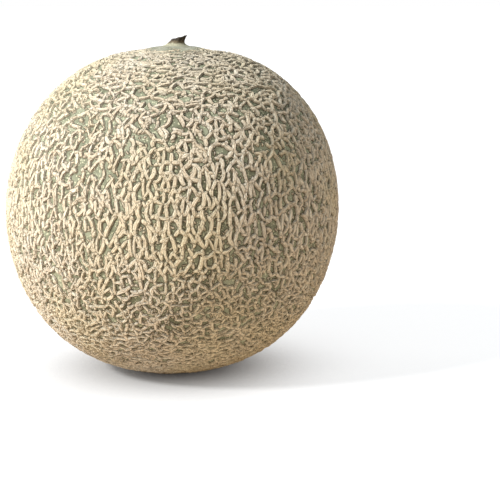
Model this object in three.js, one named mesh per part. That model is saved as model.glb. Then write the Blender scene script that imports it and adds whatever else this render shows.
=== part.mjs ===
// A whole netted cantaloupe melon: the round fruit, standing on the small flat spot that its
// own weight keeps under it, and the dry stub of the vine stem on top.
// Millimetres, +Z up. The origin is the middle of the resting spot, and the stem end leans to +X.
import * as THREE from "three";

// The fruit, measured over the crests of its netting.
const fruitWidth = 150;
const fruitHeight = 145; // from the resting spot up to the seat of the stem
const fruitFullness = 2.4; // across the outline's superellipse: 2 is an ellipse, more has flatter ends
const fruitRoundness = 2; // up it: 2 is an ellipse, more has straighter sides
const fruitLean = 2.4; // how far the stem end stands off the middle
const restSpotRadius = 14;

// The stem stub: a flange grown over the top of the fruit, a short neck and a slanting broken end.
const stemFlangeRadius = 8.5;
const stemFlangeEdge = 0.35; // how thick the flange is near its rim
const stemSeatMargin = 0.5; // the seat on the fruit is this much wider than the flange
const stemNeckRadius = 3.1;
const stemNeckHeight = 2.0; // where the flange has narrowed to the neck
const stemEndRadius = 3.3;
const stemEndHeight = 4.1; // at the middle of the slanting end
const stemEndSlant = 0.24; // how much higher than its middle the end is on +X, as a share
const stemEndLean = 1.2;

// How finely the round shapes are divided.
const fruitTurns = 64;
const fruitRings = 30;
const stemTurns = 32;
const flangeRings = 6;

// How far up its half height the fruit's outline is, at a share of its half width.
function heightShare(widthShare) {
  return (1 - widthShare ** fruitFullness) ** (1 / fruitRoundness);
}

// A solid turned about +Z from an outline of [radius, height] pairs, which starts and ends on the axis.
function turned(outline, turns) {
  const points = outline.map(([radius, height]) => new THREE.Vector2(radius, height));
  return new THREE.LatheGeometry(points, turns).rotateX(Math.PI / 2);
}

// Moves each point of a geometry to where move(point) puts it.
function reshape(geometry, move) {
  const places = geometry.getAttribute("position");
  const point = new THREE.Vector3();
  for (let i = 0; i < places.count; i++) {
    move(point.fromBufferAttribute(places, i));
    places.setXYZ(i, point.x, point.y, point.z);
  }
  geometry.computeVertexNormals();
  return geometry;
}

// The fruit is a superellipse turned about its axis and cut flat at the resting spot and at the
// stem's seat. Its middle then leans, little by little, towards the stem end.
function fruitGeometry() {
  const halfWidth = fruitWidth / 2;
  const seatRadius = stemFlangeRadius + stemSeatMargin;
  const belowMiddle = heightShare(restSpotRadius / halfWidth);
  const aboveMiddle = heightShare(seatRadius / halfWidth);
  const halfHeight = fruitHeight / (belowMiddle + aboveMiddle);
  const middle = belowMiddle * halfHeight;
  const lowAngle = -Math.asin(belowMiddle ** (fruitRoundness / 2));
  const highAngle = Math.asin(aboveMiddle ** (fruitRoundness / 2));

  const outline = [[0, 0], [restSpotRadius, 0]];
  for (let ring = 1; ring < fruitRings; ring++) {
    const angle = lowAngle + ((highAngle - lowAngle) * ring) / fruitRings;
    const radius = halfWidth * Math.cos(angle) ** (2 / fruitFullness);
    const rise = halfHeight * Math.abs(Math.sin(angle)) ** (2 / fruitRoundness);
    outline.push([radius, middle + Math.sign(angle) * rise]);
  }
  outline.push([seatRadius, fruitHeight], [0, fruitHeight]);

  return reshape(turned(outline, fruitTurns), (point) => {
    point.x += fruitLean * (point.z / fruitHeight) ** 2;
  });
}

// The stub is turned too. Its end then slants, which lifts one side and lowers the other.
function stemGeometry() {
  const outline = [[0, 0], [stemFlangeRadius, 0]];
  for (let ring = 1; ring <= flangeRings; ring++) {
    const angle = ((Math.PI / 2) * ring) / flangeRings;
    outline.push([
      stemFlangeRadius - (stemFlangeRadius - stemNeckRadius) * Math.sin(angle),
      stemFlangeEdge + (stemNeckHeight - stemFlangeEdge) * (1 - Math.cos(angle)),
    ]);
  }
  outline.push([stemEndRadius, stemEndHeight], [0, stemEndHeight]);

  return reshape(turned(outline, stemTurns), (point) => {
    const share = point.z / stemEndHeight;
    point.z += stemEndSlant * stemEndHeight * share ** 2 * (point.x / stemEndRadius);
    point.x += stemEndLean * share ** 2;
  });
}

const fruit = new THREE.Mesh(
  fruitGeometry(),
  new THREE.MeshStandardMaterial({ color: 0xc4b590, roughness: 0.8, metalness: 0 }),
);
fruit.name = "fruit";

const stemStub = new THREE.Mesh(
  stemGeometry(),
  new THREE.MeshStandardMaterial({ color: 0x6b6552, roughness: 0.9, metalness: 0 }),
);
stemStub.name = "stem_stub";
stemStub.position.set(fruitLean, 0, fruitHeight);

const melon = new THREE.Group();
melon.name = "cantaloupe_melon";
melon.add(fruit, stemStub);

export default melon;
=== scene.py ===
"""A whole netted cantaloupe melon on a pale studio floor."""

import bmesh
import bpy
import numpy as np
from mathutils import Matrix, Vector, kdtree


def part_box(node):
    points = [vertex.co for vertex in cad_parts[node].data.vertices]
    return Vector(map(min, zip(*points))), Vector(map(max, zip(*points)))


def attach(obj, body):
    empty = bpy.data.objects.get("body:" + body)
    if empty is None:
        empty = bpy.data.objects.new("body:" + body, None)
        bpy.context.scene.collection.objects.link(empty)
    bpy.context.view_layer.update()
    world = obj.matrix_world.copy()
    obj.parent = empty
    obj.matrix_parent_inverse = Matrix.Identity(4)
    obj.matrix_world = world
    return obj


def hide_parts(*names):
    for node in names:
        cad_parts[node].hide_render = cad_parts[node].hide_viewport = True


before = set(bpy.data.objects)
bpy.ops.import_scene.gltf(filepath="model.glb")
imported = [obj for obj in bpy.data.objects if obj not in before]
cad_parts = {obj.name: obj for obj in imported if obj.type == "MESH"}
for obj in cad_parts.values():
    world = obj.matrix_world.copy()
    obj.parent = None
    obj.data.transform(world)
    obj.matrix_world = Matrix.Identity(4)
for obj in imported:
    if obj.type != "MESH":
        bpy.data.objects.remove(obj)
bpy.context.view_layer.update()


# ---------------------------------------------------------------- the form of the fruit
# The fruit is a ball grown a little wider than tall, with flatter ends. It stands on a small flat
# spot and leans towards its stem. Its outline is the solid model's superellipse, a hair inside it.
clearance = 0.0001
stem_seat_margin = 0.0005
fruit_low, fruit_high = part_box("fruit")
stem_low, stem_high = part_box("stem_stub")
fruit_height = fruit_high.z - fruit_low.z
fruit_half_width = (fruit_high.y - fruit_low.y) / 2 - clearance
across_power = 2.4
up_power = 2.0
rest_spot_radius = 0.014
stem_seat_radius = (stem_high.y - stem_low.y) / 2 + stem_seat_margin
fruit_lean = (stem_high.x + stem_low.x) / 2


def height_share(width_share):
    """How far up its half height the outline is, at a share of its half width."""
    return (1 - width_share**across_power) ** (1 / up_power)


share_below = height_share(rest_spot_radius / fruit_half_width)
share_above = height_share(stem_seat_radius / fruit_half_width)
fruit_half_height = fruit_height / (share_below + share_above)
fruit_middle = fruit_half_height * share_below


def on_fruit(directions):
    """The points of the fruit's outside that lie in these directions from its middle."""
    across = np.hypot(directions[:, 0], directions[:, 1]) / fruit_half_width
    up = np.abs(directions[:, 2]) / fruit_half_height
    reach = 1 / np.hypot(across, up)
    # Newton's method, which has settled after six steps.
    for _ in range(6):
        over = (reach * across) ** across_power + (reach * up) ** up_power - 1
        slope = across_power * (reach * across) ** across_power + up_power * (reach * up) ** up_power
        reach = reach * (1 - over / slope)
    points = directions * reach[:, None]
    points[:, 2] = np.clip(points[:, 2] + fruit_middle, 0, fruit_height)
    points[:, 0] += fruit_lean * (points[:, 2] / fruit_height) ** 2
    return points


def outward(directions):
    """The outward normals of the fruit at those points."""
    points = on_fruit(directions)
    points[:, 0] -= fruit_lean * (points[:, 2] / fruit_height) ** 2
    height = points[:, 2] - fruit_middle
    radius = np.maximum(np.hypot(points[:, 0], points[:, 1]), 1e-9)
    across = across_power * (radius / fruit_half_width) ** (across_power - 1) / fruit_half_width
    up = up_power * (np.abs(height) / fruit_half_height) ** (up_power - 1) / fruit_half_height
    normals = np.stack([
        across * points[:, 0] / radius,
        across * points[:, 1] / radius,
        up * np.sign(height),
    ], axis=1)
    return normals / np.linalg.norm(normals, axis=1, keepdims=True)


# ---------------------------------------------------------------- the run of the netting
# The rind cracks as the fruit swells, and cork grows in the cracks as raised cords between uneven
# islands of skin. Round the widest part the islands are tall, so most cords there stand upright,
# and near the ends they are wide, so most cords lie level.
rng = np.random.default_rng(11)
island_count = 5600
island_jitter = 0.64  # how far an island is shaken, as a share of its size
equator_stretch = 2.2  # how much taller than wide the islands are round the widest part
end_stretch = 0.50  # the same near the ends
band_middle = np.radians(6)
band_width = np.radians(29)
low_crowding = 1.5  # how many times as many islands there are on the lower half
low_start, low_fade = -2, 20  # degrees up where that sets in, and over which it grows
top_crowding = 1.15  # the same round the crown
top_start, top_fade = 22, 22
pole_latitude = 1.565  # no island lies nearer to an end than this

latitudes = np.radians(np.linspace(-89.95, 89.95, 4001))
band = np.exp(-(((latitudes - band_middle) / band_width) ** 2))
stretches = end_stretch + (equator_stretch - end_stretch) * band
mercator = np.arctanh(np.sin(latitudes))
squeezed = np.concatenate([[0], np.cumsum(np.diff(mercator) * 2 / (stretches[1:] + stretches[:-1]))])
squeezed -= np.interp(0, latitudes, squeezed)
round_latitudes = np.arcsin(np.tanh(squeezed))


def directions_at(latitude, longitude):
    """Unit vectors at a latitude and longitude of the fruit, in radians."""
    return np.stack([
        np.cos(latitude) * np.cos(longitude),
        np.cos(latitude) * np.sin(longitude),
        np.sin(latitude),
    ], axis=1)


# Islands are spread evenly and then shaken. The lower half has more and smaller ones, and the
# crown has a few more.
degrees_up = np.degrees(latitudes)
crowding = 1 + (low_crowding - 1) * np.clip((low_start - degrees_up) / low_fade, 0, 1)
crowding += (top_crowding - 1) * np.clip((degrees_up - top_start) / top_fade, 0, 1)
share_up = np.cumsum(np.cos(latitudes) * crowding)
share_up = (share_up - share_up[0]) / (share_up[-1] - share_up[0])
order = (np.arange(island_count) + 0.5) / island_count
island_latitudes = np.interp(order, share_up, latitudes)
island_longitudes = (np.arange(island_count) * np.pi * (3 - np.sqrt(5))) % (2 * np.pi)
island_stretches = np.interp(island_latitudes, latitudes, stretches)
island_crowding = np.interp(island_latitudes, latitudes, crowding)
island_pitch = np.sqrt(4 * np.pi / island_count / island_stretches / island_crowding)
shake = rng.uniform(-1, 1, (island_count, 2)) * island_jitter * island_pitch[:, None]
island_latitudes += shake[:, 0] * island_stretches
island_latitudes = np.clip(island_latitudes, -pole_latitude, pole_latitude)
island_longitudes = island_longitudes + shake[:, 1] / np.maximum(np.cos(island_latitudes), 0.05)
islands = directions_at(np.interp(island_latitudes, latitudes, round_latitudes), island_longitudes)

# The middles of three neighbouring islands meet at a fork of the cords.
hull = bmesh.new()
for island in islands:
    hull.verts.new(island)
bmesh.ops.convex_hull(hull, input=hull.verts)
bmesh.ops.triangulate(hull, faces=hull.faces)
hull.faces.index_update()
corners = np.array([[vert.co[:] for vert in face.verts] for face in hull.faces])
links = np.array([
    [face.index for face in edge.link_faces] for edge in hull.edges if len(edge.link_faces) == 2
])
hull.free()
forks = np.cross(corners[:, 1] - corners[:, 0], corners[:, 2] - corners[:, 0])
forks *= np.sign(np.sum(forks * corners[:, 0], axis=1))[:, None]
forks /= np.linalg.norm(forks, axis=1, keepdims=True)
fork_latitudes = np.interp(np.arcsin(forks[:, 2]), round_latitudes, latitudes)
fork_directions = directions_at(fork_latitudes, np.arctan2(forks[:, 1], forks[:, 0]))

# Some cords are missing, most of them level ones round the widest part and upright ones near the
# ends. The numbers are shares of the cords.
missing_anywhere = 0.13
missing_level = 0.50
missing_upright = 0.32
spared_at_ends = 0.06
shortest_cord = 0.0004
starts = fork_directions[links[:, 0]]
ends = fork_directions[links[:, 1]]
runs = (ends - starts) * fruit_half_width
lengths = np.linalg.norm(runs, axis=1)
cord_latitudes = np.arcsin(np.clip((starts + ends)[:, 2] / 2, -1, 1))
uprightness = np.abs(runs[:, 2]) / np.maximum(lengths * np.cos(cord_latitudes), 1e-9)
in_band = np.exp(-(((cord_latitudes - band_middle) / band_width) ** 2))
levelness = np.clip(1 - uprightness * 1.3, 0, 1) ** 0.7
steepness = np.clip(uprightness * 1.6 - 0.6, 0, 1)
missing = missing_anywhere + missing_level * in_band * levelness
missing += (1 - in_band) * (missing_upright * steepness - spared_at_ends)
kept = rng.uniform(size=len(links)) > missing
kept &= lengths > shortest_cord
starts, ends, lengths = starts[kept], ends[kept], lengths[kept]
cord_count = len(starts)

# Each cord bends a little, and its ends lie a little beside the forks. Most ends run past their
# fork, some stop short of it and leave a crease, and a few leave a gap.
end_offset = 0.00030
cord_bend = 0.11
overrun = 0.0003
past_share, gap_share = 0.62, 0.12
crease_lengths = (0.0003, 0.0008)
gap_lengths = (0.0010, 0.0015)
longest_pull_back = 0.3  # as a share of the cord
steps = 5
starts = starts + rng.normal(0, end_offset / fruit_half_width, starts.shape)
ends = ends + rng.normal(0, end_offset / fruit_half_width, ends.shape)
sideways = np.cross(starts, ends - starts)
sideways /= np.maximum(np.linalg.norm(sideways, axis=1, keepdims=True), 1e-9)
bends = sideways * (rng.normal(0, cord_bend, cord_count) * lengths / fruit_half_width)[:, None]
ending = rng.uniform(0, 1, (cord_count, 2))
pull_back = np.where(ending < past_share, -overrun, rng.uniform(*crease_lengths, (cord_count, 2)))
pull_back = np.where(ending > 1 - gap_share, rng.uniform(*gap_lengths, (cord_count, 2)), pull_back)
pull_back = np.minimum(pull_back / lengths[:, None], longest_pull_back)
paths = []
for place in np.linspace(0, 1, steps):
    share = pull_back[:, 0] + (1 - pull_back[:, 0] - pull_back[:, 1]) * place
    paths.append(starts + (ends - starts) * share[:, None] + bends * (4 * share * (1 - share))[:, None])
paths = np.array(paths)

# A cord's width here is from its middle line to its edge, and its rise is a share of the relief.
# Where the islands are crowded the cords are narrower too.
cord_half_width = 0.00096
cord_widths = cord_half_width * rng.uniform(0.76, 1.16, cord_count)
cord_widths /= np.sqrt(np.interp(cord_latitudes[kept], latitudes, crowding))
cord_rises = rng.uniform(0.70, 1.0, cord_count)

# Short twigs grow out of the sides of the cords into the islands.
twig_count = 2600
twig_lengths = (0.0012, 0.0027)
twig_widths = (0.00048, 0.00078)
twig_rises = (0.45, 0.85)
parents = rng.integers(0, cord_count, twig_count)
twig_starts = paths[rng.integers(1, steps - 1, twig_count), parents]
twig_turns = rng.normal(0, 1, (twig_count, 3))
twig_turns -= twig_starts * np.sum(twig_turns * twig_starts, axis=1, keepdims=True)
twig_turns /= np.linalg.norm(twig_turns, axis=1, keepdims=True)
twig_turns *= rng.uniform(*twig_lengths, twig_count)[:, None] / fruit_half_width
twig_paths = np.array([twig_starts + twig_turns * place for place in np.linspace(0, 1, steps)])
paths = np.concatenate([paths, twig_paths], axis=1)
cord_widths = np.concatenate([cord_widths, rng.uniform(*twig_widths, twig_count)])
cord_rises = np.concatenate([cord_rises, rng.uniform(*twig_rises, twig_count)])

# Small loose grains of cork lie on most of the islands.
grain_count = 8000
grain_scatter = 0.0011
grain_half_lengths = (0.0001, 0.0008)
grain_widths = (0.00020, 0.00048)
grain_rises = (0.30, 0.70)
grains = rng.integers(0, island_count, grain_count)
grain_middles = directions_at(island_latitudes[grains], island_longitudes[grains])
grain_middles += rng.normal(0, grain_scatter / fruit_half_width, grain_middles.shape)
grain_turns = rng.normal(0, 1, (grain_count, 3))
grain_turns -= grain_middles * np.sum(grain_turns * grain_middles, axis=1, keepdims=True)
grain_turns /= np.linalg.norm(grain_turns, axis=1, keepdims=True)
grain_turns *= rng.uniform(*grain_half_lengths, grain_count)[:, None] / fruit_half_width
grain_paths = np.array([grain_middles + grain_turns * place for place in np.linspace(-1, 1, steps)])
paths = np.concatenate([paths, grain_paths], axis=1)
cord_widths = np.concatenate([cord_widths, rng.uniform(*grain_widths, grain_count)])
cord_rises = np.concatenate([cord_rises, rng.uniform(*grain_rises, grain_count)])

# A cord's tone is how pale its cork is and how pointed its ends are.
cord_tones = rng.uniform(size=len(cord_widths))

# The netting thins out towards the stem and stops short of it, nearer on some sides than on others.
bare_radius = 0.012
full_radius = 0.030
paths /= np.linalg.norm(paths, axis=2, keepdims=True)
paths = on_fruit(paths.reshape(-1, 3)).reshape(paths.shape)
from_stem = np.hypot(paths[:, :, 0] - fruit_lean, paths[:, :, 1]).min(axis=0)
round_stem = np.arctan2(paths[2, :, 1], paths[2, :, 0] - fruit_lean)
uneven = 0.10 * np.sin(2 * round_stem + 2.6) + 0.09 * np.sin(5 * round_stem)
from_stem *= 1 + uneven + 0.07 * np.sin(11 * round_stem)
from_stem *= rng.uniform(0.82, 1.12, len(from_stem))
fade = np.clip((from_stem - bare_radius) / (full_radius - bare_radius), 0, 1)
fade[paths[2, :, 2] < fruit_middle] = 1
present = fade > 0
paths, fade = paths[:, present], fade[present]
cord_widths = cord_widths[present] * (0.45 + 0.55 * fade)
cord_rises = cord_rises[present] * (0.35 + 0.65 * fade)
cord_tones = cord_tones[present]

pieces = paths[1:] - paths[:-1]
piece_lengths = np.linalg.norm(pieces, axis=2)
pieces /= np.maximum(piece_lengths, 1e-9)[:, :, None]
piece_starts = np.cumsum(piece_lengths, axis=0) - piece_lengths
half_lengths = piece_lengths.sum(axis=0) / 2
last = steps - 2

middles = (paths[1:] + paths[:-1]) / 2
middle_cords = np.tile(np.arange(middles.shape[1]), steps - 1)
cord_tree = kdtree.KDTree(len(middle_cords))
for index, point in enumerate(middles.reshape(-1, 3)):
    cord_tree.insert(point, index)
cord_tree.balance()

cord_relief = 0.00120
foot_reach = 0.00010  # how far outside its edge a cord's side comes down to the skin
side_run = 0.00052  # how wide that side is
tip_dip = 0.18  # how much lower a cord is at its ends
dome_drop = 0.40  # how much lower it is at its edge than along its middle
blunt_end, pointed_end = 0.06, 0.30  # how much narrower its ends are, and how much more with tone
neighbours = 14  # how many stretches of cord are looked at round a point

# The edges of the cords are ragged: waves of a millimetre or two move them in and out.
raggedness = 0.00009
waves = rng.normal(0, 1, (6, 3))
waves *= (2 * np.pi / rng.uniform(0.0012, 0.0030, 6) / np.linalg.norm(waves, axis=1))[:, None]


def nearest_cords(points, count):
    """For each point, the numbers of the cords nearest to it, each cord once."""
    nearest = np.empty((len(points), neighbours), int)
    for row, point in enumerate(points):
        nearest[row] = [hit[1] for hit in cord_tree.find_n(point, neighbours)]
    nearest = middle_cords[nearest]
    chosen = [nearest[:, 0]]
    for _ in range(count - 1):
        pick = nearest[:, 0]
        for column in range(neighbours - 1, 0, -1):
            candidate = nearest[:, column]
            fresh = np.all([candidate != one for one in chosen], axis=0)
            pick = np.where(fresh, candidate, pick)
        chosen.append(pick)
    return chosen


def place_on(cord, points, normals):
    """Where the points are on their cords: how far to the side of its line, and how far along it
    from its middle."""
    best = np.full(len(points), 1.0)
    across = np.zeros(len(points))
    along = np.zeros(len(points))
    for piece in range(steps - 1):
        run = pieces[piece, cord]
        offset = points - paths[piece, cord]
        position = np.sum(offset * run, axis=1)
        foot = np.clip(position, 0, piece_lengths[piece, cord])
        away = np.linalg.norm(offset - run * foot[:, None], axis=1)
        # The lines of the first and the last piece run on past the ends of the cord.
        if piece == 0:
            foot = np.minimum(position, piece_lengths[piece, cord])
        if piece == last:
            foot = np.maximum(position, 0)
        side = np.linalg.norm(offset - run * foot[:, None], axis=1)
        side *= np.sign(np.sum(np.cross(normals, run) * offset, axis=1))
        closer = away < best
        best = np.where(closer, away, best)
        across = np.where(closer, side, across)
        along = np.where(closer, piece_starts[piece, cord] + foot - half_lengths[cord], along)
    return across, along


def cord_height(cord, across, along, ragged):
    """How high a cord stands at a place on it, from 0 to 1, and how far outside its edge it is."""
    tip = np.clip(np.abs(along) / half_lengths[cord], 0, 1)
    sharpness = blunt_end + pointed_end * cord_tones[cord]
    width = cord_widths[cord] * (1 - sharpness * tip**3)
    away = np.hypot(across, np.maximum(np.abs(along) - half_lengths[cord], 0))
    outside = away - width - ragged
    side = np.clip((foot_reach - outside) / side_run, 0, 1)
    side = side * side * (3 - 2 * side)
    dome = 1 - dome_drop * np.clip(away / width, 0, 1) ** 2
    return cord_rises[cord] * (1 - tip_dip * tip**4) * side * dome, outside


def ragged_at(points):
    """How far the cords' edges are moved at these points."""
    swell = np.sin(points @ waves.T)
    return raggedness * np.sum(swell[:, ::2] * swell[:, 1::2], axis=1)


# ---------------------------------------------------------------- the rind
# The rind is one closed skin, smooth and grey-green, with the dry cork of the netting raised out of
# it. The smooth skin lies lower than the solid model by the height of the cords.
seat_blend = 0.007  # over which the skin comes up to the seat of the stem
most_triangles = 197000
millimetres = 1000  # in a metre
bpy.ops.object.select_all(action="DESELECT")
bpy.ops.mesh.primitive_ico_sphere_add(subdivisions=9, radius=1.0, calc_uvs=False)
rind = bpy.context.active_object
rind.name = "netted_rind"
mesh = rind.data
directions = np.empty(len(mesh.vertices) * 3)
mesh.vertices.foreach_get("co", directions)
directions = directions.reshape(-1, 3)
directions /= np.linalg.norm(directions, axis=1, keepdims=True)
smooth_points = on_fruit(directions)
normals = outward(directions)
ragged = ragged_at(smooth_points)
height = np.zeros(len(smooth_points))
for cord in nearest_cords(smooth_points, 3):
    across, along = place_on(cord, smooth_points, normals)
    height = np.maximum(height, cord_height(cord, across, along, ragged)[0])
seat_side = np.hypot(smooth_points[:, 0] - fruit_lean, smooth_points[:, 1]) - stem_seat_radius
sunk = np.clip(seat_side / seat_blend, 0, 1)
sunk = np.where(smooth_points[:, 2] > fruit_middle, sunk * sunk * (3 - 2 * sunk), 1)
raised = smooth_points - normals * ((1 - height) * sunk * cord_relief)[:, None]
mesh.vertices.foreach_set("co", raised.ravel())
mesh.update()

thin = rind.modifiers.new("thin", "DECIMATE")
thin.ratio = min(1, most_triangles / len(mesh.polygons))
bpy.ops.object.modifier_apply(modifier="thin")
for vertex in rind.data.vertices:
    vertex.co.z = max(vertex.co.z, 0)


def back_on_fruit(points):
    """The smooth fruit's points and normals under these points."""
    from_middle = points - np.array([0, 0, fruit_middle])
    from_middle[:, 0] -= fruit_lean * (points[:, 2] / fruit_height) ** 2
    ways = from_middle / np.linalg.norm(from_middle, axis=1, keepdims=True)
    return on_fruit(ways), outward(ways)


# Every face keeps its place on the two cords that stand highest at its middle, for the shading.
mesh = rind.data
raised = np.empty(len(mesh.vertices) * 3)
mesh.vertices.foreach_get("co", raised)
corners = np.empty(len(mesh.loops), int)
mesh.loops.foreach_get("vertex_index", corners)
smooth_points, normals = back_on_fruit(raised.reshape(-1, 3))
face_points = smooth_points[corners].reshape(-1, 3, 3).mean(axis=1)
face_normals = normals[corners].reshape(-1, 3, 3).mean(axis=1)
ragged = ragged_at(face_points)
candidates = nearest_cords(face_points, 3)
scores = []
for cord in candidates:
    across, along = place_on(cord, face_points, face_normals)
    height, outside = cord_height(cord, across, along, ragged)
    scores.append(np.where(height > 0, 1 + height, -outside))
ranking = np.argsort(-np.array(scores), axis=0)
candidates = np.array(candidates)
corner_points = smooth_points[corners]
corner_normals = normals[corners]
for rank, letter in ((0, "a"), (1, "b")):
    cord = np.take_along_axis(candidates, ranking[rank][None], axis=0)[0].repeat(3)
    across, along = place_on(cord, corner_points, corner_normals)
    placed = np.stack([across, along, half_lengths[cord]], axis=1) * millimetres
    built = np.stack([cord_widths[cord] * millimetres, cord_rises[cord], cord_tones[cord]], axis=1)
    for name, values in (("place_" + letter, placed), ("cord_" + letter, built)):
        attribute = mesh.attributes.new(name, "FLOAT_VECTOR", "CORNER")
        attribute.data.foreach_set("vector", values.astype(np.float32).ravel())
bpy.ops.object.shade_smooth()
mesh.normals_split_custom_set_from_vertices(normals)

# For the export, the rind is laid out flat in six square patches, as on a box round the fruit.
patch_fill = 0.97  # how much of its square a patch fills
middle = np.array([0, 0, fruit_middle])
half_sizes = np.array([fruit_half_width, fruit_half_width, fruit_half_height])
face_ways = (face_points - middle) / half_sizes
corner_ways = (corner_points - middle) / half_sizes
facing = np.argmax(np.abs(face_ways), axis=1)
side = np.sign(face_ways[np.arange(len(facing)), facing])
facing, side = facing.repeat(3), side.repeat(3)
depth = corner_ways[np.arange(len(facing)), facing] * side
flat = np.zeros((len(facing), 2))
for axis, (level_axis, rising_axis, turn) in enumerate(((1, 2, 1), (0, 2, -1), (0, 1, 1))):
    here = facing == axis
    level = corner_ways[here, level_axis] * side[here] * turn
    flat[here, 0] = np.arctan2(level, depth[here])
    flat[here, 1] = np.arctan2(corner_ways[here, rising_axis], depth[here])
flat = 0.5 + flat / (np.pi / 2) * patch_fill
flat[:, 0] = (flat[:, 0] + (side > 0)) / 2
flat[:, 1] = (flat[:, 1] + facing) / 3
layout = mesh.uv_layers.new(name="OFBake", do_init=False)
layout.data.foreach_set("uv", flat.astype(np.float32).ravel())

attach(rind, "root")
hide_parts("fruit")


class Sheet:
    """The nodes of a material or a node group, with short ways to add to them."""

    def __init__(self, tree):
        self.nodes = tree.nodes
        self.links = tree.links

    def put(self, kind, inputs=None, **settings):
        """Adds a node. An input is a value, or an output of another node."""
        node = self.nodes.new(kind)
        for key, value in settings.items():
            setattr(node, key, value)
        for key, value in (inputs or {}).items():
            if isinstance(value, bpy.types.NodeSocket):
                self.links.new(value, node.inputs[key])
            else:
                node.inputs[key].default_value = value
        return node

    def calc(self, operation, *values):
        """The result of a sum on values or outputs."""
        return self.put("ShaderNodeMath", dict(enumerate(values)), operation=operation).outputs[0]

    def step(self, value, low, high, from_value=0.0, to_value=1.0):
        """Turns low..high of a value into 0..1, smoothly."""
        inputs = {0: value, 1: low, 2: high, 3: from_value, 4: to_value}
        return self.put("ShaderNodeMapRange", inputs, interpolation_type="SMOOTHSTEP").outputs[0]

    def mix(self, factor, first, second):
        """A colour between two, as far towards the second as the factor says."""
        inputs = {0: factor, 6: first, 7: second}
        return self.put("ShaderNodeMix", inputs, data_type="RGBA").outputs[2]

    def either(self, second_wins, first, second):
        """One of two numbers: the second where second_wins is 1."""
        return self.put("ShaderNodeMix", {0: second_wins, 2: first, 3: second}).outputs[0]

    def noise(self, vector, scale, detail=3.0, roughness=0.6):
        """A cloudy value round 0.5. The scale is in clouds to the metre."""
        inputs = {"Vector": vector, "Scale": scale, "Detail": detail, "Roughness": roughness}
        return self.put("ShaderNodeTexNoise", inputs).outputs["Fac"]

    def split(self, vector):
        """The three parts of a vector."""
        return self.put("ShaderNodeSeparateXYZ", {0: vector}).outputs

    def join(self, x, y, z):
        """A vector of three parts."""
        return self.put("ShaderNodeCombineXYZ", {0: x, 1: y, 2: z}).outputs[0]


def rgb(red, green, blue):
    """A colour from 0-255 values as seen on a screen."""
    def linear(value):
        value /= 255
        return value / 12.92 if value <= 0.04045 else ((value + 0.055) / 1.055) ** 2.4
    return (linear(red), linear(green), linear(blue), 1)


def new_material(name):
    """A material, its nodes, and the shader in it."""
    material = bpy.data.materials.new(name)
    material.use_nodes = True
    return material, Sheet(material.node_tree), material.node_tree.nodes["Principled BSDF"]


# The same cord as cord_height makes, for the shading, and the fibres along it. Lengths are in
# millimetres.
cord_group = bpy.data.node_groups.new("cork_cord", "ShaderNodeTree")
for name, kind in (("Place", "Vector"), ("Cord", "Vector"), ("Ragged", "Float")):
    cord_group.interface.new_socket(name, in_out="INPUT", socket_type="NodeSocket" + kind)
for name in ("Height", "Outside", "Fibre", "Share"):
    cord_group.interface.new_socket(name, in_out="OUTPUT", socket_type="NodeSocketFloat")
sheet = Sheet(cord_group)
given = sheet.put("NodeGroupInput").outputs
across, along, half_length = sheet.split(given["Place"])
width, rise, tone = sheet.split(given["Cord"])
length_in = sheet.calc("ABSOLUTE", along)
tip = sheet.calc("MINIMUM", sheet.calc("DIVIDE", length_in, half_length), 1.0)
sharpness = sheet.calc("MULTIPLY_ADD", tone, pointed_end, blunt_end)
narrowed = sheet.calc("MULTIPLY", sharpness, sheet.calc("POWER", tip, 3.0))
width = sheet.calc("MULTIPLY", width, sheet.calc("SUBTRACT", 1.0, narrowed))
over = sheet.calc("MAXIMUM", sheet.calc("SUBTRACT", length_in, half_length), 0.0)
squares = sheet.calc("ADD", sheet.calc("MULTIPLY", across, across), sheet.calc("MULTIPLY", over, over))
away = sheet.calc("SQRT", squares)
outside = sheet.calc("SUBTRACT", sheet.calc("SUBTRACT", away, width), given["Ragged"])
edge = foot_reach * millimetres
side = sheet.step(outside, edge - side_run * millimetres, edge, 1.0, 0.0)
share = sheet.calc("MINIMUM", sheet.calc("DIVIDE", away, width), 1.0)
drop = sheet.calc("MULTIPLY", sheet.calc("MULTIPLY", share, share), dome_drop)
dome = sheet.calc("SUBTRACT", 1.0, drop)
dip = sheet.calc("SUBTRACT", 1.0, sheet.calc("MULTIPLY", sheet.calc("POWER", tip, 4.0), tip_dip))
height = sheet.calc("MULTIPLY", sheet.calc("MULTIPLY", rise, dip), sheet.calc("MULTIPLY", side, dome))
grain_line = sheet.join(
    sheet.calc("MULTIPLY", across, 2.2),
    sheet.calc("MULTIPLY", along, 0.55),
    sheet.calc("MULTIPLY", tone, 90.0),
)
fibre = sheet.noise(grain_line, 1.6, 3.0, 0.65)
sheet.put("NodeGroupOutput", {"Height": height, "Outside": outside, "Fibre": fibre, "Share": share})

# The mottled skin of the crown, which is bare of netting. The flare of the stem is the same colour.
crown_group = bpy.data.node_groups.new("crown_skin", "ShaderNodeTree")
crown_group.interface.new_socket("Place", in_out="INPUT", socket_type="NodeSocketVector")
crown_group.interface.new_socket("Mottle", in_out="OUTPUT", socket_type="NodeSocketFloat")
crown_group.interface.new_socket("Color", in_out="OUTPUT", socket_type="NodeSocketColor")
sheet = Sheet(crown_group)
mottle = sheet.noise(sheet.put("NodeGroupInput").outputs["Place"], 95.0, 4.0)
crown_skin = sheet.mix(sheet.step(mottle, 0.40, 0.62), rgb(150, 150, 128), rgb(174, 171, 152))
sheet.put("NodeGroupOutput", {"Mottle": mottle, "Color": crown_skin})

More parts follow.
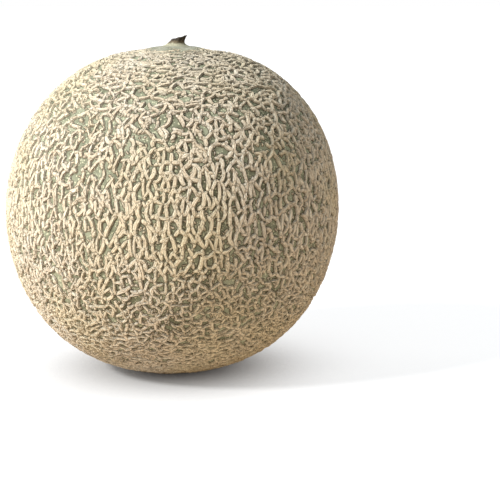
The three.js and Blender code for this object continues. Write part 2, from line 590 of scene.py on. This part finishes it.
skin_dark, skin_light = rgb(103, 105, 81), rgb(153, 156, 130)
speck_colour = rgb(206, 205, 172)
cork_warm, cork_pale = rgb(228, 214, 190), rgb(240, 235, 217)
cork_straw = rgb(232, 221, 186)
fibre_colour = rgb(190, 168, 132)
ridge_colour = rgb(204, 178, 152)
pit_colour = rgb(178, 156, 120)
# The edge, foot and crease colours below are painted shade; the foot colour is also a little browner skin.
edge_shade_colour = rgb(138, 116, 78)
foot_shade_colour = rgb(56, 40, 18)
crease_shade_colour = rgb(100, 80, 48)

material, sheet, shader = new_material("netted_rind")
place = sheet.put("ShaderNodeTexCoord").outputs["Object"]
ragged = sheet.calc("MULTIPLY", sheet.calc("SUBTRACT", sheet.noise(place, 900.0, 2.0), 0.5), 0.35)
cords = []
for letter in "ab":
    placed = sheet.put("ShaderNodeAttribute", attribute_name="place_" + letter).outputs["Vector"]
    built = sheet.put("ShaderNodeAttribute", attribute_name="cord_" + letter).outputs["Vector"]
    inputs = {"Place": placed, "Cord": built, "Ragged": ragged}
    group = sheet.put("ShaderNodeGroup", inputs, node_tree=cord_group)
    cords.append([*group.outputs, sheet.split(built)[2]])
(height_a, outside_a, fibre_a, share_a, tone_a), (height_b, outside_b, fibre_b, share_b, tone_b) = cords
top = sheet.calc("MAXIMUM", height_a, height_b)
outside = sheet.calc("MINIMUM", outside_a, outside_b)
b_wins = sheet.calc("GREATER_THAN", height_b, height_a)
tone = sheet.either(b_wins, tone_a, tone_b)
fibre = sheet.either(b_wins, fibre_a, fibre_b)
share = sheet.either(b_wins, share_a, share_b)
apart = sheet.calc("ABSOLUTE", sheet.calc("SUBTRACT", height_a, height_b))
both = sheet.step(sheet.calc("MINIMUM", height_a, height_b), 0.15, 0.45)
crease = sheet.calc("MULTIPLY", both, sheet.step(apart, 0.0, 0.16, 1.0, 0.0))

# The skin is mottled and specked, and paler on the bare crown.
crown = sheet.put("ShaderNodeGroup", {"Place": place}, node_tree=crown_group).outputs
spots = sheet.put("ShaderNodeTexVoronoi", {"Vector": place, "Scale": 1250.0, "Randomness": 1.0})
spot_size = sheet.calc("MULTIPLY_ADD", sheet.split(spots.outputs["Color"])[0], 0.80, -0.22)
speck = sheet.step(sheet.calc("SUBTRACT", spots.outputs["Distance"], spot_size), 0.12, 0.0)
skin = sheet.mix(sheet.step(crown["Mottle"], 0.35, 0.65), skin_dark, skin_light)
skin = sheet.mix(sheet.calc("MULTIPLY", speck, 0.85), skin, speck_colour)
x, y, z = sheet.split(place)
aside = sheet.calc("SUBTRACT", x, fruit_lean)
squares = sheet.calc("MULTIPLY_ADD", aside, aside, sheet.calc("MULTIPLY", y, y))
from_stem = sheet.calc("SQRT", squares)
near_stem = sheet.step(from_stem, bare_radius, full_radius, 1.0, 0.0)
near_stem = sheet.calc("MULTIPLY", near_stem, sheet.step(z, 0.10, 0.12))
skin = sheet.mix(sheet.calc("MULTIPLY", near_stem, 0.9), skin, crown["Color"])

# The cork is pale, with browner fibres, a split ridge and pits. Painted shade darkens its edges.
patches = sheet.noise(place, 22.0, 2.0)
fine = sheet.noise(place, 1400.0, 3.0)
cork = sheet.mix(tone, cork_warm, cork_pale)
cork = sheet.mix(sheet.step(patches, 0.38, 0.7), cork, cork_straw)
cork = sheet.mix(sheet.step(fibre, 0.48, 0.78), cork, fibre_colour)
cork = sheet.mix(sheet.step(share, 0.45, 0.0, 0.0, 0.45), cork, ridge_colour)
cork = sheet.mix(sheet.step(fine, 0.60, 0.38, 0.0, 0.45), cork, pit_colour)
# Painted shade: the cork is darker at its edges.
cork = sheet.mix(sheet.step(outside, -0.10, 0.05), cork, edge_shade_colour)

# Painted shade darkens the skin at the foot of the cords, where the skin is also a little browner, and the
# creases between them.
# Painted shade, partly browner skin: the skin is darker next to the cords.
foot = sheet.step(outside, 0.52, 0.12)
skin = sheet.mix(sheet.calc("MULTIPLY", foot, 0.84), skin, foot_shade_colour)
colour = sheet.mix(sheet.step(outside, 0.06, -0.04), skin, cork)
# Painted shade: the creases where two cords meet are darker.
colour = sheet.mix(sheet.calc("MULTIPLY", crease, 0.55), colour, crease_shade_colour)
sheet.links.new(colour, shader.inputs["Base Color"])
shader.inputs["Roughness"].default_value = 0.72

relief = sheet.calc("MULTIPLY_ADD", crease, -0.25, top)
relief = sheet.calc("MULTIPLY_ADD", sheet.calc("MULTIPLY", fibre, sheet.step(top, 0.3, 0.7)), 0.14, relief)
relief = sheet.calc("MULTIPLY_ADD", sheet.step(share, 0.4, 0.0), -0.10, relief)
relief = sheet.calc("MULTIPLY_ADD", fine, 0.06, relief)
relief = sheet.calc("MULTIPLY_ADD", speck, 0.22, relief)
bump = sheet.put("ShaderNodeBump", {"Strength": 1.0, "Distance": cord_relief, "Height": relief})
sheet.links.new(bump.outputs[0], shader.inputs["Normal"])
mesh.materials.clear()
mesh.materials.append(material)


# ---------------------------------------------------------------- the stem
# What is left of the vine: a dry ribbed stub that flares out thin over the crown. It was broken off,
# so its end is slanted and hollow, with a ragged rim drawn out into a splinter on one side.
stem_flare = [  # radius, height and shift to the leaning side, in millimetres
    (8.50, 0.07, 0.0), (7.55, 0.15, 0.0), (6.50, 0.29, 0.0), (5.55, 0.52, 0.0), (4.75, 0.86, 0.0),
    (4.10, 1.28, 0.05), (3.66, 1.74, 0.15), (3.40, 2.22, 0.35), (3.28, 2.72, 0.62), (3.24, 3.22, 0.92),
    (3.28, 3.84, 1.26), (3.28, 4.04, 1.36),
]
stem_sides = 40
bpy.ops.object.select_all(action="DESELECT")
bpy.ops.mesh.primitive_circle_add(
    vertices=stem_sides, radius=stem_flare[0][0] / millimetres, fill_type="NGON",
    location=(fruit_lean, 0, stem_low.z),
)
stem = bpy.context.active_object
stem.name = "dry_stem"
bpy.ops.object.transform_apply(location=True, rotation=False, scale=False)
bpy.ops.object.mode_set(mode="EDIT")
radius, height, shift = stem_flare[0][0], 0, 0
for new_radius, new_height, new_shift in stem_flare:
    rise = ((new_shift - shift) / millimetres, 0, (new_height - height) / millimetres)
    bpy.ops.mesh.extrude_region_move(TRANSFORM_OT_translate={"value": rise})
    share = new_radius / radius
    middle = (fruit_lean + new_shift / millimetres, 0, stem_low.z + new_height / millimetres)
    bpy.ops.transform.resize(value=(share, share, 1), center_override=middle)
    radius, height, shift = new_radius, new_height, new_shift

# The rim is a thin wall round a sunken core.
rim_and_core = ((0.00040, -0.00005), (0.00045, -0.00050), (0.00080, -0.00020))
for thickness, depth in rim_and_core:
    bpy.ops.mesh.inset(thickness=thickness, depth=depth)
bpy.ops.mesh.poke()
bpy.ops.mesh.select_all(action="SELECT")
bpy.ops.mesh.normals_make_consistent(inside=False)
bpy.ops.object.mode_set(mode="OBJECT")

# Five blunt ribs and finer ones run up the stub, and the end is slanted, ragged and splintered.
end_slant = 0.23
splinter_height = 0.00050
splinter_reach = 0.00045
splinter_side = 0.0030  # how far from the middle the splinter stands
below_top = 0.00002
end_middle = fruit_lean + stem_flare[-1][2] / millimetres
flare_heights = [row[1] for row in stem_flare]
flare_shifts = [row[2] for row in stem_flare]
for vertex in stem.data.vertices:
    up = (vertex.co.z - stem_low.z) * millimetres
    lean_here = np.interp(up, flare_heights, flare_shifts) / millimetres
    aside = vertex.co - Vector((fruit_lean + lean_here, 0, vertex.co.z))
    angle = np.arctan2(aside.y, aside.x)
    ribs = 0.055 * np.cos(5 * angle + 0.7) + 0.025 * np.cos(13 * angle) + 0.015 * np.cos(20 * angle + 1)
    spread = 0.10 * np.cos(3 * angle + 2.0) * np.clip((1.2 - up) / 1.2, 0, 1) * (up > 0.1)
    bent = 1 + ribs * np.clip((up - 0.4) / 1.2, 0, 1) - abs(spread)
    vertex.co.x += aside.x * (bent - 1)
    vertex.co.y += aside.y * (bent - 1)
    high = np.clip((up - 2.0) / 1.7, 0, 1)
    to_splinter = np.clip(np.cos(angle), 0, 1) ** 4 * np.clip(aside.length / splinter_side, 0, 1) ** 4
    ragged_rim = 0.00012 * np.cos(7 * angle + 1.5) + 0.00009 * np.cos(17 * angle)
    vertex.co.z += high * (end_slant * (vertex.co.x - end_middle) + ragged_rim)
    vertex.co.z += high**2 * splinter_height * to_splinter
    vertex.co.x += high**2 * splinter_reach * to_splinter
    vertex.co.z = min(max(vertex.co.z, stem_low.z), stem_high.z - below_top)
smoother = stem.modifiers.new("rounded", "SUBSURF")
smoother.levels = smoother.render_levels = 2
bpy.ops.object.modifier_apply(modifier="rounded")
bpy.ops.object.shade_smooth()
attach(stem, "root")
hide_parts("stem_stub")

# The flare has kept some of the colour of the crown, and the stub has dried dark and fibrous.
flare_colour = rgb(172, 168, 142)
neck_colour = rgb(96, 84, 62)
stub_colour = rgb(52, 44, 34)
streak_colour = rgb(70, 58, 42)
straw_colour = rgb(168, 150, 116)
fibre_relief = 0.0003
material, sheet, shader = new_material("dry_stem")
place = sheet.put("ShaderNodeTexCoord").outputs["Object"]
x, y, z = sheet.split(place)
up = sheet.calc("MULTIPLY", sheet.calc("SUBTRACT", z, stem_low.z), millimetres)
streaks = sheet.noise(sheet.join(x, y, sheet.calc("MULTIPLY", z, 0.18)), 2100.0, 3.0, 0.65)
stains = sheet.noise(place, 520.0, 3.0)
wavering = sheet.calc("ADD", up, sheet.calc("MULTIPLY_ADD", stains, 1.6, -0.8))
crown = sheet.put("ShaderNodeGroup", {"Place": place}, node_tree=crown_group).outputs
above_edge = sheet.step(sheet.calc("MULTIPLY_ADD", stains, 0.5, up), 0.30, 0.95)
stub = sheet.mix(above_edge, crown["Color"], flare_colour)
stub = sheet.mix(sheet.step(wavering, 1.1, 2.1), stub, neck_colour)
stub = sheet.mix(sheet.step(wavering, 2.1, 3.0), stub, stub_colour)
stub = sheet.mix(sheet.calc("MULTIPLY", sheet.step(streaks, 0.50, 0.70), 0.55), stub, streak_colour)
straw = sheet.calc("MULTIPLY", sheet.step(streaks, 0.42, 0.30), sheet.step(up, 1.2, 3.0, 0.15, 0.5))
stub = sheet.mix(straw, stub, straw_colour)
sheet.links.new(stub, shader.inputs["Base Color"])
shader.inputs["Roughness"].default_value = 0.85
bump = sheet.put("ShaderNodeBump", {"Strength": 1.0, "Distance": fibre_relief, "Height": streaks})
sheet.links.new(bump.outputs[0], shader.inputs["Normal"])
stem.data.materials.append(material)


# ---------------------------------------------------------------- the studio
# A white floor without an edge, which glows where it is open to the sky. The main light is high on
# the left, with a low one behind it, a wide soft one overhead, and white all round.
floor_shade = (0.30, 0.30, 0.30, 1)
open_floor = 0.62  # how open the floor has to be to glow fully
glow_in_view, glow_on_melon = 0.78, 0.66
glow_tint = (1, 0.70, 0.40, 1)  # of the floor's light on the melon
white = (1, 1, 1, 1)
sky_in_view, sky_on_melon = 1.0, 0.13
bpy.ops.object.select_all(action="DESELECT")
bpy.ops.mesh.primitive_plane_add(size=60, location=(0, 0, 0))
floor = bpy.context.active_object
floor.name = "floor"
material, sheet, shader = new_material("pale_floor")
shader.inputs["Base Color"].default_value = floor_shade
shader.inputs["Roughness"].default_value = 0.6
seen = sheet.put("ShaderNodeLightPath").outputs["Is Camera Ray"]
sheet.links.new(sheet.mix(seen, glow_tint, white), shader.inputs["Emission Color"])
openness = sheet.put("ShaderNodeAmbientOcclusion", {"Distance": 0.12}, samples=6).outputs["AO"]
openness = sheet.calc("MINIMUM", sheet.calc("DIVIDE", openness, open_floor), 1.0)
glow = sheet.calc("MULTIPLY", openness, sheet.step(seen, 0.0, 1.0, glow_on_melon, glow_in_view))
sheet.links.new(glow, shader.inputs["Emission Strength"])
floor.data.materials.append(material)


def soft_sun(name, direction, strength, angle, colour=(1, 1, 1)):
    """A light as wide as an angle of the sky, in degrees, shining from a direction."""
    bpy.ops.object.light_add(type="SUN")
    light = bpy.context.active_object
    light.name = name
    light.rotation_euler = Vector(direction).to_track_quat("Z", "Y").to_euler()
    light.data.energy = strength
    light.data.angle = np.radians(angle)
    light.data.color = colour


soft_sun("key", (-0.79, -0.38, 0.60), 4.5, 9)
soft_sun("rim", (-0.86, 0.50, 0.22), 1.2, 20)
soft_sun("top", (-0.16, -0.1, 1.0), 1.65, 120, (0.86, 0.94, 1.0))

world = bpy.data.worlds.new("studio")
bpy.context.scene.world = world
world.use_nodes = True
sheet = Sheet(world.node_tree)
seen = sheet.put("ShaderNodeLightPath").outputs["Is Camera Ray"]
background = sheet.nodes["Background"]
background.inputs["Color"].default_value = white
strength = sheet.step(seen, 0.0, 1.0, sky_on_melon, sky_in_view)
sheet.links.new(strength, background.inputs["Strength"])

# The camera stands a little above the melon and looks past it, so that it is up on the left.
camera_distance = 0.63
camera_height_angle = np.radians(8.5)
look_right = 0.0354
look_down = 0.0195
melon_middle = Vector((0, 0, fruit_height / 2))
bpy.ops.object.camera_add()
camera = bpy.context.active_object
camera.data.lens = 100
camera.data.sensor_width = 36
towards_camera = Vector((0, -np.cos(camera_height_angle), np.sin(camera_height_angle)))
camera.location = melon_middle + towards_camera * camera_distance
target = melon_middle + Vector((look_right, 0, -look_down))
camera.rotation_euler = (camera.location - target).to_track_quat("Z", "Y").to_euler()
bpy.context.scene.camera = camera
bpy.context.scene.view_settings.view_transform = "Standard"
